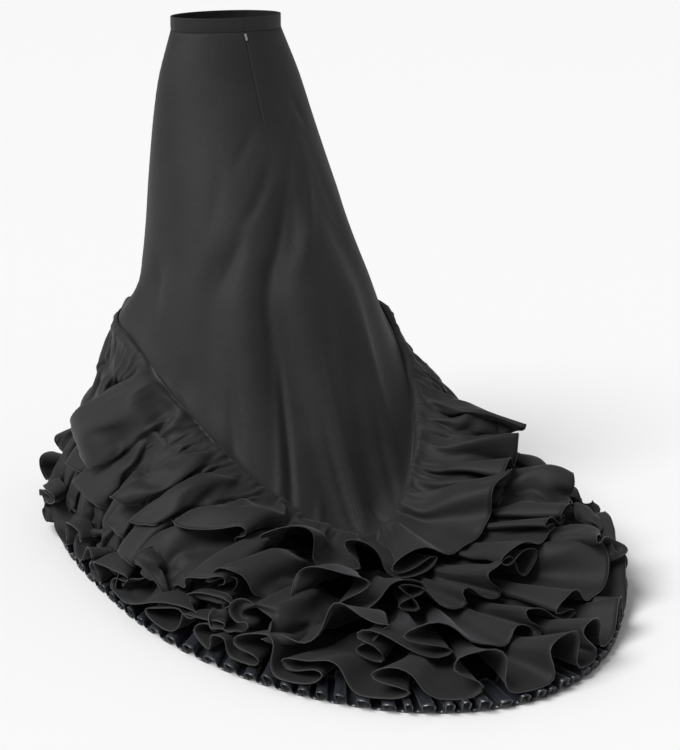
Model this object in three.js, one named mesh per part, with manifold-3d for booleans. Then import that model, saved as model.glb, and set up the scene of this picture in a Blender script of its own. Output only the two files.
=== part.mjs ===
// A flamenco skirt with a train (bata de cola), standing in its worn shape with no wearer.
// Millimetres, +Z up. The origin is the centre of the waist seam. The front faces -Y and the
// train lies along +Y, so the wearer's left side is at +X.
import * as THREE from 'three';
import { mergeVertices } from 'three/addons/utils/BufferGeometryUtils.js';
import Module from 'manifold-3d';

const wasm = await Module();
wasm.setup();

// Driving sizes
const waistHigh = 1080;      // waist seam above the floor, with the wearer in heels
const clothWall = 2;         // crepe of the body panels
const flounceWall = 1.5;     // crepe of the flounces
const seamGap = 0.3;         // every sewn seam is left open by this much
const flounceDrop = 212;     // cut depth of each flounce, seam to hem
const seamLift = 1.1;        // the top edge of a flounce above the facets of the body
const bandHigh = 30;         // waistband
const bandWall = 3;
const waveShare = 0.3;       // height of a wave over how far the hem stands off
const lowestHem = 10.8;      // level where the last flounce ends, over the frill
const fluteWide = 150;       // one wave of a flounce, along its hem
const fluteSteps = 5;        // flat facets along one wave

// The cone of the skirt: one row for each level, from the waist down to the outer edge on the
// floor. front, middle and back are places along Y, half is the half width, the High columns are
// heights above the floor, and corner and tip are the squareness of the front and back halves
// (2 is an ellipse, less is more pointed). swell is how far the train fans out on its right.
const levelColumns = [
  'name', 'front', 'frontHigh', 'half', 'middle', 'sideHigh', 'back', 'backHigh', 'corner', 'tip', 'swell'];
const levels = [
  ['waist', -88, 1080, 128, 0, 1080, 88, 1080, 2, 2, 0],
  ['highHip', -106, 975, 164, 13, 975, 133, 975, 2, 2, 0],
  ['hip', -117, 895, 182, 27, 895, 172, 895, 2, 2, 0],
  ['thigh', -128, 765, 207, 58, 765, 251, 765, 2, 2, 0],
  ['lowThigh', -128, 660, 229, 88, 660, 308, 660, 2, 2, 0],
  ['knee', -130, 560, 256, 111, 560, 359, 560, 2, 2, 0],
  ['seam1', -142, 480, 308, 120, 456, 607, 90, 2.1, 1.8, 0],
  ['seam2', -164, 366, 336, 180, 342, 752, 60, 2.2, 1.9, 18],
  ['seam3', -190, 255, 372, 248, 230, 890, 40, 2.3, 1.95, 38],
  ['seam4', -226, 146, 410, 325, 124, 1020, 25, 2.4, 2, 48],
  ['hem', -276, 38, 448, 400, 22, 1150, 12, 2.5, 2, 42],
  ['edge', -345, 5, 505, 450, 5, 1232, 5, 2.4, 2, 14],
].map((row) => Object.fromEntries(row.map((value, i) => [levelColumns[i], value])));
const seamLevel = 6;         // row of the first flounce seam
const hemLevel = 10;         // row of the body's own hem
const fanTurn = -56;         // where the train fans out most, and how widely, in degrees
const fanSpread = 27;
const trainLean = 26;        // the end of the train lies this far to the wearer's left
const seamDip = 1.4;         // how the seams swing down to the back: 1 is a straight V

// Soft folds of the body. Each runs from one level and turn (degrees from the centre back, + is
// towards +X) to another; depth is inwards, and spread is its half width in degrees.
const foldColumns = ['from', 'fromTurn', 'to', 'toTurn', 'depth', 'spread'];
const folds = [
  [2.4, -8, 6, 31, 17, 9],
  [4.9, 12, 6, 10, 15, 8],
  [4.8, -19, 6, -13, 15, 8],
  [3.6, 32, 6, 56, 10, 9],
  [2.4, -22, 6, -48, 9, 10],
  [3.8, 72, 6, 92, 9, 10],
  [3.2, -66, 6, -88, 10, 10],
  [3.0, 128, 6, 122, 10, 10],
  [3.4, 168, 6, 160, 9, 10],
  [3.1, -150, 6, -158, 11, 11],
  [4.0, -116, 6, -112, 8, 9],
].map((row) => Object.fromEntries(row.map((value, i) => [foldColumns[i], value])));

// Flounces, top to bottom: the seam they hang from, how far the hem stands off the body at the
// front, on the train and more where it fans out, and where the waves and the joins start.
const flounces = [
  { name: 'flounce_1', seam: 6, stand: 40, trainStand: 74, fan: 12, start: 0.15, joins: 0 },
  { name: 'flounce_2', seam: 7, stand: 42, trainStand: 94, fan: 20, start: 0.65, joins: 9 },
  { name: 'flounce_3', seam: 8, stand: 44, trainStand: 98, fan: 34, start: 0.35, joins: -6 },
  { name: 'flounce_4', seam: 9, stand: 26, trainStand: 40, fan: 50, start: 0.9, joins: 5 },
];
// The four lengths that make up each flounce, by turn in degrees
const lengths = [
  { name: 'back', from: -38, to: 38 },
  { name: 'left', from: 38, to: 112 },
  { name: 'front', from: 112, to: 248 },
  { name: 'right', from: 248, to: 322 },
];
const frillGap = 0.018;       // levels between the hem of the body and the frill, about 1 mm
const frill = { over: 6, under: 4.5 };

// Zip: the slit runs from the waist down the centre back
const zip = { slitHalf: 0.8, levelEnd: 2, tapeHalf: 12, tapeThick: 1, tapeClear: 0.5, tapeFrom: 0.11 };
const slider = { middle: 8, long: 7, half: 2.6, plate: 1, neckHalf: 0.5, innerHalf: 1.6, clear: 0.3 };
const bridge = { reach: 2.6, post: 0.8, open: 1.6, top: 0.8 };
const tab = { half: 2.3, long: 12.1, thick: 0.8, windowHalf: 0.9, windowEnd: 3.5, clear: 0.3, round: 6 };
// Flat hook and bar that close the waistband, inside its ends
const hook = { half: 7, from: 8, to: 22, thick: 1.5, clear: 0.45 };

const rad = Math.PI / 180;
const colours = { crepe: 0x1f1f20, organza: 0x17181c, metal: 0xb9b8b4, tape: 0x1a1a1b };
const finish = {
  crepe: new THREE.MeshStandardMaterial({ color: colours.crepe, roughness: 0.85, metalness: 0 }),
  organza: new THREE.MeshStandardMaterial({ color: colours.organza, roughness: 0.4, metalness: 0 }),
  metal: new THREE.MeshStandardMaterial({ color: colours.metal, roughness: 0.3, metalness: 1 }),
  tape: new THREE.MeshStandardMaterial({ color: colours.tape, roughness: 0.8, metalness: 0 }),
};

const skirt = new THREE.Group();

function add(name, geometry, material) {
  const mesh = new THREE.Mesh(geometry, material);
  mesh.name = name;
  skirt.add(mesh);
  return mesh;
}

// A column of the level table at any level in between, without overshoot
function column(key, level) {
  const last = levels.length - 1;
  const row = Math.min(Math.max(Math.floor(level), 0), last - 1);
  const step = (i) => levels[i + 1][key] - levels[i][key];
  const slope = (i) => {
    if (i === 0) return step(0);
    if (i === last) return step(last - 1);
    const before = step(i - 1);
    const after = step(i);
    return before * after > 0 ? (2 * before * after) / (before + after) : 0;
  };
  const w = level - row;
  const w2 = w * w;
  const w3 = w2 * w;
  return levels[row][key] * (2 * w3 - 3 * w2 + 1) + slope(row) * (w3 - 2 * w2 + w)
    + levels[row + 1][key] * (3 * w2 - 2 * w3) + slope(row + 1) * (w3 - w2);
}

// 1 at a turn given in degrees, fading to both sides
function bell(turn, middle, spread) {
  const away = Math.atan2(Math.sin(turn - middle * rad), Math.cos(turn - middle * rad)) / rad;
  return Math.exp(-((away / spread) ** 2));
}

// A point of the smooth cone. turn is in radians, 0 at the centre back and + towards +X.
function cone(level, turn) {
  const sin = Math.sin(turn);
  const cos = Math.cos(turn);
  const behind = cos > 0;
  const power = 2 / column(behind ? 'tip' : 'corner', level);
  const reach = Math.abs(cos) ** power;
  const middle = column('middle', level);
  const side = column('sideHigh', level);
  const end = column(behind ? 'back' : 'front', level);
  const endHigh = column(behind ? 'backHigh' : 'frontHigh', level);
  const lean = behind ? trainLean * reach * smooth((level - seamLevel) / (hemLevel - seamLevel)) : 0;
  const fan = column('swell', level) * bell(turn, fanTurn, fanSpread);
  return new THREE.Vector3(
    lean - fan * Math.cos(fanTurn / 2 * rad) + column('half', level) * Math.sign(sin) * Math.abs(sin) ** power,
    middle + (end - middle) * reach - fan * Math.sin(fanTurn / 2 * rad),
    side + (endHigh - side) * Math.abs(cos) ** (behind ? seamDip : 1) - waistHigh,
  );
}

// Outward direction of a surface given as a function of level and turn
function outward(surface, level, turn, step = 0.02) {
  const top = Math.max(level - step, 0);
  const bottom = Math.min(level + step, levels.length - 1);
  const down = surface(bottom, turn).sub(surface(top, turn));
  const across = surface(level, turn + 0.01).sub(surface(level, turn - 0.01));
  return across.cross(down).normalize();
}

function smooth(x) {
  const t = Math.min(Math.max(x, 0), 1);
  return t * t * (3 - 2 * t);
}

// How far the body is folded inwards
function foldDepth(level, turn) {
  let depth = 0;
  for (const fold of folds) {
    const along = (level - fold.from) / (fold.to - fold.from);
    if (along <= 0 || along >= 1) continue;
    const middle = fold.fromTurn + (fold.toTurn - fold.fromTurn) * along;
    const fade = smooth(along / 0.55) * smooth((1 - along) / 0.16);
    depth += fold.depth * fade * bell(turn, middle, fold.spread);
  }
  return depth;
}

function body(level, turn) {
  return cone(level, turn).addScaledVector(outward(cone, level, turn), -foldDepth(level, turn));
}

// Turn that lies a given arc away from another, on one level
function turnAside(surface, level, turn, arc) {
  const reach = surface(level, turn + 0.001).distanceTo(surface(level, turn - 0.001)) / 0.002;
  return turn + arc / reach;
}

// A closed wall from two grids of points with rows and columns, outer and inner
function wall(outer, inner) {
  const rows = outer.length;
  const cols = outer[0].length;
  const points = [...outer.flat(), ...inner.flat()];
  const at = (side, r, c) => side * rows * cols + r * cols + c;
  const index = [];
  const quad = (a, b, c, d) => index.push(a, c, b, a, d, c);
  for (let r = 0; r < rows - 1; r += 1) {
    for (let c = 0; c < cols - 1; c += 1) {
      quad(at(0, r, c), at(0, r + 1, c), at(0, r + 1, c + 1), at(0, r, c + 1));
      quad(at(1, r, c), at(1, r, c + 1), at(1, r + 1, c + 1), at(1, r + 1, c));
    }
    quad(at(0, r, 0), at(1, r, 0), at(1, r + 1, 0), at(0, r + 1, 0));
    quad(at(0, r, cols - 1), at(0, r + 1, cols - 1), at(1, r + 1, cols - 1), at(1, r, cols - 1));
  }
  for (let c = 0; c < cols - 1; c += 1) {
    quad(at(0, 0, c), at(0, 0, c + 1), at(1, 0, c + 1), at(1, 0, c));
    quad(at(0, rows - 1, c), at(1, rows - 1, c), at(1, rows - 1, c + 1), at(0, rows - 1, c + 1));
  }
  const geometry = new THREE.BufferGeometry();
  geometry.setAttribute('position', new THREE.Float32BufferAttribute(points.flatMap((p) => [p.x, p.y, p.z]), 3));
  geometry.setIndex(index);
  geometry.computeVertexNormals();
  return geometry;
}

function box(x0, x1, y0, y1, z0, z1) {
  const geometry = new THREE.BoxGeometry(x1 - x0, y1 - y0, z1 - z0);
  return geometry.translate((x0 + x1) / 2, (y0 + y1) / 2, (z0 + z1) / 2);
}

// Several closed geometries as one
function join(geometries) {
  const solids = geometries.map((geometry) => {
    const bare = geometry.clone();
    bare.deleteAttribute('normal');
    bare.deleteAttribute('uv');
    const merged = mergeVertices(bare);
    return new wasm.Manifold(new wasm.Mesh({
      numProp: 3,
      vertProperties: new Float32Array(merged.attributes.position.array),
      triVerts: new Uint32Array(merged.index.array),
    }));
  });
  const whole = solids.reduce((sum, solid) => sum.add(solid)).getMesh();
  const geometry = new THREE.BufferGeometry();
  geometry.setAttribute('position', new THREE.BufferAttribute(whole.vertProperties, 3));
  geometry.setIndex(new THREE.BufferAttribute(whole.triVerts, 1));
  geometry.computeVertexNormals();
  return geometry;
}

// A wall on a surface, between two offsets, over a grid of levels and turns
function sheetWall(surface, grid, outerOffset, innerOffset) {
  const shifted = (offset) => grid.map((row) => row.map(({ level, turn }) => (
    surface(level, turn).addScaledVector(outward(surface, level, turn), offset))));
  return wall(shifted(outerOffset), shifted(innerOffset));
}

// Body panels: front, and two backs cut in one with the train
function panel(from, to, steps, gapFrom, gapTo) {
  const rows = [0, 1, 2, 3, 4, 5, 5.35, 5.7, 6, 7, 8, 9, 10];
  const grid = rows.map((level) => {
    const first = turnAside(cone, level, from * rad, gapFrom(level));
    const last = turnAside(cone, level, to * rad, -gapTo(level));
    return Array.from({ length: steps + 1 }, (_, i) => ({ level, turn: first + ((last - first) * i) / steps }));
  });
  return sheetWall(body, grid, 0, -clothWall);
}

const sideSeam = 104;        // turn of the side seams, in degrees
const plainGap = () => seamGap / 2;
const zipGap = (level) => (level <= zip.levelEnd ? zip.slitHalf : seamGap / 2);
add('back_panel_left', panel(0, sideSeam, 18, zipGap, plainGap), finish.crepe);
add('front_panel', panel(sideSeam, 360 - sideSeam, 22, plainGap, plainGap), finish.crepe);
add('back_panel_right', panel(360 - sideSeam, 360, 18, plainGap, zipGap), finish.crepe);

// Waistband, open at the centre back
function waistband() {
  const steps = 40;
  const ends = turnAside(cone, 0, 0, seamGap / 2);
  const ring = (high, inset) => Array.from({ length: steps + 1 }, (_, i) => {
    const turn = ends + ((2 * Math.PI - 2 * ends) * i) / steps;
    const point = cone(0, turn);
    const out = new THREE.Vector3(point.x / levels[0].half ** 2, point.y / levels[0].back ** 2, 0).normalize();
    return point.addScaledVector(out, -inset).setZ(high);
  });
  const grid = (inset) => [ring(seamGap + bandHigh, inset), ring(seamGap, inset)];
  return wall(grid(0), grid(bandWall));
}
add('waistband', waistband(), finish.crepe);

const hookFace = levels[0].back - bandWall - hook.clear;
add('waist_hook', box(-hook.half, hook.half, hookFace - hook.thick, hookFace, hook.from, hook.to), finish.metal);

// Zip tape behind the slit
function zipTape() {
  const rows = [zip.tapeFrom, 1, zip.levelEnd];
  const across = [-1, -0.5, 0, 0.5, 1];
  const grid = rows.map((level) => across.map((share) => ({
    level, turn: turnAside(cone, level, 0, share * zip.tapeHalf) })));
  const face = clothWall + zip.tapeClear;
  return sheetWall(body, grid, -face, -face - zip.tapeThick);
}
add('zip_tape', zipTape(), finish.tape);

// The slider sits in the slit just below the waist seam: a plate outside the cloth, a plate inside,
// a neck between them, and a bridge outside that holds the pull tab. Local +Y is out of the cloth
// and local +Z is up along it.
const seamTop = cone(0, 0);
const seamNext = cone(1, 0);
const slope = Math.atan2(seamNext.y - seamTop.y, seamTop.z - seamNext.z);
const sliderPlace = seamTop.clone().lerp(seamNext, slider.middle / seamTop.distanceTo(seamNext));

function sliderSolid() {
  const reach = slider.long / 2;
  const face = slider.clear + slider.plate;
  const inside = -clothWall - slider.clear;
  const post = face + bridge.open + bridge.top;
  return join([
    box(-slider.half, slider.half, slider.clear, face, -reach, reach),
    box(-slider.innerHalf, slider.innerHalf, inside - slider.plate, inside, -reach, reach),
    box(-slider.neckHalf, slider.neckHalf, inside - slider.plate / 2, face - slider.plate / 2, -reach, reach),
    box(-slider.neckHalf, slider.neckHalf, face - 0.2, post, bridge.reach - bridge.post, bridge.reach),
    box(-slider.neckHalf, slider.neckHalf, face - 0.2, post, -bridge.reach, bridge.post - bridge.reach),
    box(-slider.neckHalf, slider.neckHalf, post - bridge.top, post, -bridge.reach, bridge.reach),
  ]);
}
const sliderMesh = add('zip_slider', sliderSolid(), finish.metal);
sliderMesh.position.copy(sliderPlace);
sliderMesh.rotation.x = slope;

// The tab swings on its top bar, which lies under the bridge
function pullTab() {
  const bar = tab.thick / 2;
  const end = tab.long - tab.half;
  const outline = new THREE.Shape();
  outline.moveTo(tab.half, bar);
  outline.lineTo(-tab.half, bar);
  outline.lineTo(-tab.half, -end);
  outline.absarc(0, -end, tab.half, Math.PI, 2 * Math.PI, false);
  outline.closePath();
  const window = new THREE.Path();
  window.moveTo(-tab.windowHalf, -bar);
  window.lineTo(tab.windowHalf, -bar);
  window.lineTo(tab.windowHalf, -tab.windowEnd);
  window.lineTo(-tab.windowHalf, -tab.windowEnd);
  window.closePath();
  outline.holes.push(window);
  const plate = new THREE.ExtrudeGeometry(outline, {
    depth: tab.thick, bevelEnabled: false, curveSegments: tab.round });
  return plate.rotateX(Math.PI / 2).translate(0, bar, 0);
}
const tabLift = slider.clear + slider.plate + tab.clear + tab.thick / 2;
const tabMesh = add('pull_tab', pullTab(), finish.metal);
tabMesh.position.copy(sliderPlace).add(new THREE.Vector3(0, Math.cos(slope), Math.sin(slope)).multiplyScalar(tabLift));
tabMesh.rotation.x = slope;

// Flounces. A flounce leaves the body at its seam and stands off more and more towards its hem,
// where it waves. Its hem level keeps the same cut depth all round.
const arcs = flounces.map(({ seam }) => {
  const count = 720;
  const total = [0];
  for (let i = 1; i <= count; i += 1) {
    const level = Math.min(seam + 1.2, hemLevel + 0.8);
    total.push(total[i - 1] + cone(level, ((i - 1) * 2 * Math.PI) / count)
      .distanceTo(cone(level, (i * 2 * Math.PI) / count)));
  }
  return total;
});

function arcAt(tier, turn) {
  const total = arcs[tier];
  const place = (((turn / (2 * Math.PI)) % 1) + 1) % 1 * (total.length - 1);
  const i = Math.min(Math.floor(place), total.length - 2);
  return total[i] + (total[i + 1] - total[i]) * (place - i);
}

function flounceSurface(tier) {
  const { seam, stand, trainStand, fan, start } = flounces[tier];
  const around = arcs[tier].at(-1);
  const flutes = Math.round(around / fluteWide);
  return (share, turn) => {
    const spacing = cone(seam, turn).distanceTo(cone(seam + 1, turn));
    const level = seam + share * Math.min(flounceDrop / spacing, lowestHem - seam);
    const arc = arcAt(tier, turn) / around;
    const phase = 2 * Math.PI * (flutes * (arc + start / flutes)) + 0.9 * Math.sin(2 * Math.PI * 5 * arc + tier);
    const swell = 0.8 + 0.2 * Math.sin(2 * Math.PI * 3 * arc + 2 * tier);
    const off = stand + (trainStand - stand) * smooth(Math.cos(turn) * 1.1 - 0.05)
      + fan * bell(turn, fanTurn, fanSpread);
    const height = waveShare * off * swell * Math.sin(phase);
    const lift = seamLift + flounceWall + (off + height) * share;
    const point = cone(level, turn).addScaledVector(outward(cone, level, turn, 0.5), lift);
    return point;
  };
}

function outwardFlounce(surface, share, turn) {
  const top = Math.max(share - 0.04, 0);
  const bottom = Math.min(share + 0.04, 1);
  const down = surface(bottom, turn).sub(surface(top, turn));
  const across = surface(share, turn + 0.004).sub(surface(share, turn - 0.004));
  return across.cross(down).normalize();
}

flounces.forEach(({ name, joins }, tier) => {
  const surface = flounceSurface(tier);
  const around = arcs[tier].at(-1);
  const flutes = Math.round(around / fluteWide);
  for (const part of lengths) {
    const from = (part.from + joins) * rad;
    const to = (part.to + joins) * rad;
    const shares = [0, 0.5, 1];
    const arcLong = (arcAt(tier, to) - arcAt(tier, from) + around) % around;
    const steps = Math.max(6, Math.round((arcLong / around) * flutes * fluteSteps));
    const outer = [];
    const inner = [];
    for (const share of shares) {
      const first = turnAside(surface, share, from, seamGap / 2);
      const last = turnAside(surface, share, to, -seamGap / 2);
      const rowOuter = [];
      const rowInner = [];
      for (let i = 0; i <= steps; i += 1) {
        const turn = first + ((last - first) * i) / steps;
        const out = outwardFlounce(surface, share, turn);
        const point = surface(share, turn);
        rowOuter.push(point.clone());
        rowInner.push(point.addScaledVector(out, -flounceWall));
      }
      outer.push(rowOuter);
      inner.push(rowInner);
    }
    add(`${name}_${part.name}`, wall(outer, inner), finish.crepe);
  }
});

// Gathered organza frill under the hem of the body, as the plain band that it fills
for (const part of lengths) {
  const steps = Math.round((part.to - part.from) / 6);
  const grid = [hemLevel, levels.length - 1].map((level) => {
    const from = turnAside(cone, level, part.from * rad, seamGap / 2);
    const to = turnAside(cone, level, part.to * rad, -seamGap / 2);
    const start = level === hemLevel ? level + frillGap : level;
    return Array.from({ length: steps + 1 }, (_, i) => ({ level: start, turn: from + ((to - from) * i) / steps }));
  });
  add(`frill_${part.name}`, sheetWall(cone, grid, frill.over, -frill.under), finish.organza);
}

export default skirt;
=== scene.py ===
# A flamenco skirt with a train, dressed over its solids. Metres; the origin is the centre of the
# waist seam, the front faces -Y and the train lies along +Y.
import math
import bpy
import numpy as np
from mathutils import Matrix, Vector


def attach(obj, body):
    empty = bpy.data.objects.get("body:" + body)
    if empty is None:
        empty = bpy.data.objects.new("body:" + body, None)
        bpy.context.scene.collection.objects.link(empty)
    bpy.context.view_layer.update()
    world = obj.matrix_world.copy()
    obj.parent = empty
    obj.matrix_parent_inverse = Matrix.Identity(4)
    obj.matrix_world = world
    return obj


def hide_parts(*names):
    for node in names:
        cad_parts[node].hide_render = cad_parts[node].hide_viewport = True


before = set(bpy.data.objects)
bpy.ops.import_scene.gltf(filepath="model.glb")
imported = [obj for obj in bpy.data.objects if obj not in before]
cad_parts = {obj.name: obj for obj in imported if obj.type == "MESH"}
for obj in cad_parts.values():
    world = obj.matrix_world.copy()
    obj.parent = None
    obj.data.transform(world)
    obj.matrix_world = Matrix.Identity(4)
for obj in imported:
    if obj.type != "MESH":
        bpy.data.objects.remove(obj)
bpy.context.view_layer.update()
print("frame loaded:", len(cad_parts), "nodes")

# The cone of the skirt, one row for each level from the waist down, in millimetres. front, middle
# and back lie along Y, half is the half width, the High columns are above the floor, corner and
# tip are the squareness of the front and back halves, and swell is the fan on the right.
coneColumns = ("front", "frontHigh", "half", "middle", "sideHigh", "back", "backHigh",
               "corner", "tip", "swell")
coneRows = {
    "waist": (-88, 1080, 128, 0, 1080, 88, 1080, 2, 2, 0),
    "highHip": (-106, 975, 164, 13, 975, 133, 975, 2, 2, 0),
    "hip": (-117, 895, 182, 27, 895, 172, 895, 2, 2, 0),
    "thigh": (-128, 765, 207, 58, 765, 251, 765, 2, 2, 0),
    "lowThigh": (-128, 660, 229, 88, 660, 308, 660, 2, 2, 0),
    "knee": (-130, 560, 256, 111, 560, 359, 560, 2, 2, 0),
    "seam1": (-142, 480, 308, 120, 456, 607, 90, 2.1, 1.8, 0),
    "seam2": (-164, 366, 336, 180, 342, 752, 60, 2.2, 1.9, 18),
    "seam3": (-190, 255, 372, 248, 230, 890, 40, 2.3, 1.95, 38),
    "seam4": (-226, 146, 410, 325, 124, 1020, 25, 2.4, 2, 48),
    "hem": (-276, 38, 448, 400, 22, 1150, 12, 2.5, 2, 42),
    "edge": (-345, 5, 505, 450, 5, 1232, 5, 2.4, 2, 14),
}
stance = {
    "waistHigh": 1080,   # waist seam above the floor
    "fanTurn": -56,      # where the train fans out, and how widely, in degrees
    "fanSpread": 27,
    "trainLean": 26,
    "seamDip": 1.4,      # how the seams swing down to the back
    "seamLevel": 6,
    "hemLevel": 10,
}
floorHigh = -stance["waistHigh"] / 1000
coneTable = np.array(list(coneRows.values()), float)


def smooth(x):
    x = np.clip(x, 0, 1)
    return x * x * (3 - 2 * x)


def bell(turn, middle, spread):
    away = np.degrees(np.angle(np.exp(1j * (turn - np.radians(middle)))))
    return np.exp(-((away / spread) ** 2))


def column(key, level):
    values = coneTable[:, coneColumns.index(key)]
    steps = np.diff(values)
    both = steps[:-1] * steps[1:]
    total = np.where(both > 0, steps[:-1] + steps[1:], 1)
    slopes = np.concatenate([steps[:1], np.where(both > 0, 2 * both / total, 0), steps[-1:]])
    row = np.clip(np.floor(level), 0, len(values) - 2).astype(int)
    w = level - row
    w2, w3 = w * w, w ** 3
    return (values[row] * (2 * w3 - 3 * w2 + 1) + slopes[row] * (w3 - 2 * w2 + w)
            + values[row + 1] * (3 * w2 - 2 * w3) + slopes[row + 1] * (w3 - w2))


def cone(level, turn):
    level, turn = np.broadcast_arrays(np.asarray(level, float), np.asarray(turn, float))
    sin, cos = np.sin(turn), np.cos(turn)
    behind = cos > 0
    power = 2 / np.where(behind, column("tip", level), column("corner", level))
    reach = np.abs(cos) ** power
    middle, side = column("middle", level), column("sideHigh", level)
    end = np.where(behind, column("back", level), column("front", level))
    endHigh = np.where(behind, column("backHigh", level), column("frontHigh", level))
    drop = (level - stance["seamLevel"]) / (stance["hemLevel"] - stance["seamLevel"])
    lean = np.where(behind, stance["trainLean"] * reach * smooth(drop), 0)
    fan = column("swell", level) * bell(turn, stance["fanTurn"], stance["fanSpread"])
    half = np.radians(stance["fanTurn"] / 2)
    dip = np.where(behind, stance["seamDip"], 1)
    x = lean - fan * np.cos(half) + column("half", level) * np.sign(sin) * np.abs(sin) ** power
    y = middle + (end - middle) * reach - fan * np.sin(half)
    z = side + (endHigh - side) * np.abs(cos) ** dip - stance["waistHigh"]
    return np.stack([x, y, z], axis=-1) / 1000


def unit(v):
    return v / np.maximum(np.linalg.norm(v, axis=-1, keepdims=True), 1e-12)


def outward(level, turn, step=0.02):
    level, turn = np.broadcast_arrays(np.asarray(level, float), np.asarray(turn, float))
    top, bottom = np.maximum(level - step, 0), np.minimum(level + step, len(coneTable) - 1)
    down = cone(bottom, turn) - cone(top, turn)
    across = cone(level, turn + 0.01) - cone(level, turn - 0.01)
    return unit(np.cross(across, down))


def turnReach(level, turn, step=0.001):
    # metres round the cone for each radian
    return np.linalg.norm(cone(level, turn + step) - cone(level, turn - step), axis=-1) / (2 * step)


def runningLength(points, axis=0):
    # length so far along each column (axis 0) or row (axis 1) of a grid of points
    steps = np.diff(points, axis=axis, prepend=np.take(points, [0], axis=axis))
    return np.cumsum(np.linalg.norm(steps, axis=-1), axis=axis)


# Mesh helpers

def gridFaces(rows, cols, closed):
    at = np.arange(rows * cols).reshape(rows, cols)
    right = np.roll(at, -1, axis=1) if closed else at[:, 1:]
    left = at if closed else at[:, :-1]
    return np.stack([left[:-1], right[:-1], right[1:], left[1:]], axis=-1).reshape(-1, 4)


def gridMesh(name, points, closed=False, material=None, uv=None):
    rows, cols = points.shape[:2]
    faces = gridFaces(rows, cols, closed)
    mesh = bpy.data.meshes.new(name)
    mesh.from_pydata(points.reshape(-1, 3).tolist(), [], faces.tolist())
    if uv is not None:
        corners = np.zeros(len(mesh.loops), int)
        mesh.loops.foreach_get("vertex_index", corners)
        layer = mesh.uv_layers.new(name="cloth")
        layer.data.foreach_set("uv", uv.reshape(-1, 2)[corners].ravel())
    mesh.polygons.foreach_set("use_smooth", [True] * len(mesh.polygons))
    mesh.update()
    piece = bpy.data.objects.new(name, mesh)
    bpy.context.scene.collection.objects.link(piece)
    if material:
        mesh.materials.append(material)
    return piece


def applied(piece, kind, **settings):
    bpy.ops.object.select_all(action="DESELECT")
    bpy.context.view_layer.objects.active = piece
    piece.select_set(True)
    modifier = piece.modifiers.new(kind, kind)
    for key, value in settings.items():
        setattr(modifier, key, value)
    bpy.ops.object.modifier_apply(modifier=modifier.name)
    return piece


def wear(piece, nodes=(), body="skirt"):
    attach(piece, body)
    if nodes:
        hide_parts(*nodes)
    return piece


# Body panels

# Soft folds: each runs from one level and turn (degrees from the centre back, + is to the left
# side) to another. depth is inwards in millimetres, a ridge is below 0, spread is its half width
# in degrees, and rise and end are the shares of its length over which it fades in and out.
foldColumns = ("start", "startTurn", "stop", "stopTurn", "depth", "spread", "rise", "end")
folds = [dict(zip(foldColumns, row)) for row in (
    # the deep folds of the cut
    (2.4, -8, 6.0, 26, 17, 9, 0.55, 0.16),
    (4.9, 12, 6.0, 10, 15, 8, 0.55, 0.16),
    (4.8, -19, 6.0, -13, 15, 8, 0.55, 0.16),
    (3.6, 32, 6.0, 56, 10, 9, 0.55, 0.16),
    (2.4, -22, 6.0, -48, 9, 10, 0.55, 0.16),
    (3.8, 72, 6.0, 92, 9, 10, 0.55, 0.16),
    (3.2, -66, 6.0, -88, 10, 10, 0.55, 0.16),
    (3.0, 128, 6.0, 122, 10, 10, 0.55, 0.16),
    (3.4, 168, 6.0, 160, 9, 10, 0.55, 0.16),
    (3.1, -150, 6.0, -158, 11, 11, 0.55, 0.16),
    (4.0, -116, 6.0, -112, 8, 9, 0.55, 0.16),
    # drag folds from the hip across the back
    (2.2, -6, 3.9, 33, 5, 4.0, 0.5, 0.4),
    (3.4, 25, 5.4, 46, 5.5, 4.2, 0.4, 0.5),
    (1.95, 3, 2.85, 33, 3, 3.6, 0.5, 0.5),
    (1.6, -34, 3.4, 5, 4, 4.5, 0.5, 0.4),
    (2.7, -8, 4.7, 18, 5, 3.4, 0.4, 0.4),
    (3.9, 10, 5.9, 27, 6, 3.6, 0.4, 0.3),
    (2.2, -30, 5.0, 4, -5, 4.5, 0.5, 0.4),
    (1.2, -30, 2.4, -40, 3, 5, 0.5, 0.5),
    (2.2, 30, 4.2, 52, 2.6, 5, 0.5, 0.4),
    (2.0, -30, 4.4, -44, 2.4, 5, 0.5, 0.4),
    (2.7, -10, 4.6, 5, 3.4, 3.5, 0.4, 0.4),
    # where the train breaks over the floor at the back
    (5.22, 17, 5.97, 29, 7, 1.7, 0.5, 0.12),
    (5.25, 20, 5.95, 32.5, -6, 1.9, 0.5, 0.12),
    (5.35, 5, 5.98, 2, 5, 2.6, 0.5, 0.2),
    (5.1, -3, 5.97, -5, -4.5, 3.2, 0.6, 0.2),
    (5.3, -28, 5.97, -24, 6, 3.0, 0.5, 0.2),
    (5.0, -33, 5.9, -33, -4, 4.0, 0.5, 0.25),
    (5.3, 41, 5.96, 47, 5, 2.6, 0.5, 0.2),
    (5.45, 60, 5.98, 66, 4, 3.2, 0.5, 0.25),
    (5.72, 13, 5.99, 21, -6, 1.6, 0.6, 0.1),
    (5.78, -9, 5.99, -14, 5, 1.7, 0.6, 0.12),
    # the same on the sides and the front
    (4.3, 84, 5.9, 80, 4, 4, 0.5, 0.3),
    (4.6, 110, 5.9, 114, 5, 5, 0.5, 0.3),
    (3.9, 142, 5.95, 139, 5, 5, 0.5, 0.2),
    (2.1, 152, 3.9, 172, 2.4, 6, 0.5, 0.5),
    (4.4, -176, 5.95, -172, 6, 5, 0.5, 0.2),
    (2.3, -168, 4.1, -146, 2.2, 6, 0.5, 0.5),
    (4.1, -134, 5.95, -132, 5, 5, 0.5, 0.25),
    (4.5, -98, 5.95, -101, 5, 4, 0.5, 0.3),
    (4.9, -70, 5.95, -74, 4, 4, 0.5, 0.3),
)]
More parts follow.
